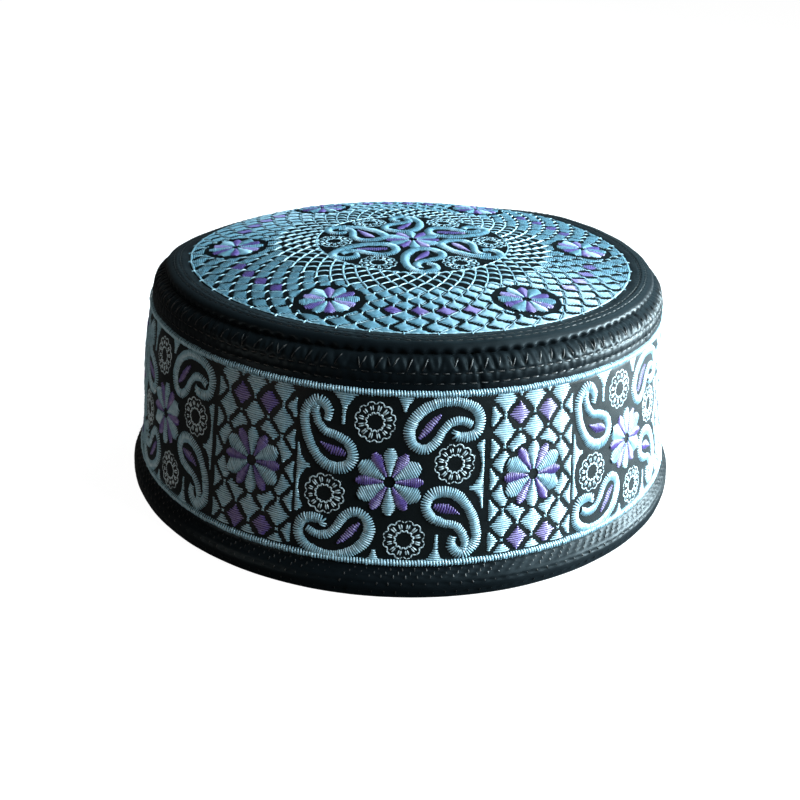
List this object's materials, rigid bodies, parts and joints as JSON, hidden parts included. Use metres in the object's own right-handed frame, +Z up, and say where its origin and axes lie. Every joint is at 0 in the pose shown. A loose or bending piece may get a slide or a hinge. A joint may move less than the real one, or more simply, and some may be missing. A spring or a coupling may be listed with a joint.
{
  "type": "tubeteika skullcap",
  "caption": "Stiff oval pillbox skullcap with an embroidered straight wall, black satin borders and a low domed embroidered crown.",
  "frame": {"origin": "middle of the rim, on the surface the cap rests on", "axes": "+Z up through the crown, +Y towards the nape, +X towards one ear"},
  "size_m": [0.178, 0.2, 0.0725],
  "materials": {
    "black_satin": "black satin weave, quilted in rows",
    "band_cloth": "black ground cloth under the wall's embroidery",
    "crown_cloth": "black ground cloth under the crown's embroidery",
    "pale_blue_thread": "pale blue rayon satin stitch",
    "steel_blue_thread": "steel blue rayon satin stitch",
    "purple_thread": "purple rayon satin stitch",
    "white_thread": "white rayon satin stitch"
  },
  "bodies": {
    "root": {"lower_border": "black_satin", "embroidered_band": "band_cloth", "upper_border": "black_satin", "crown_border": "black_satin", "crown_panel": "crown_cloth", "lower_edge_cord": "pale_blue_thread", "upper_edge_cord": "pale_blue_thread"}
  },
  "joints": []
}
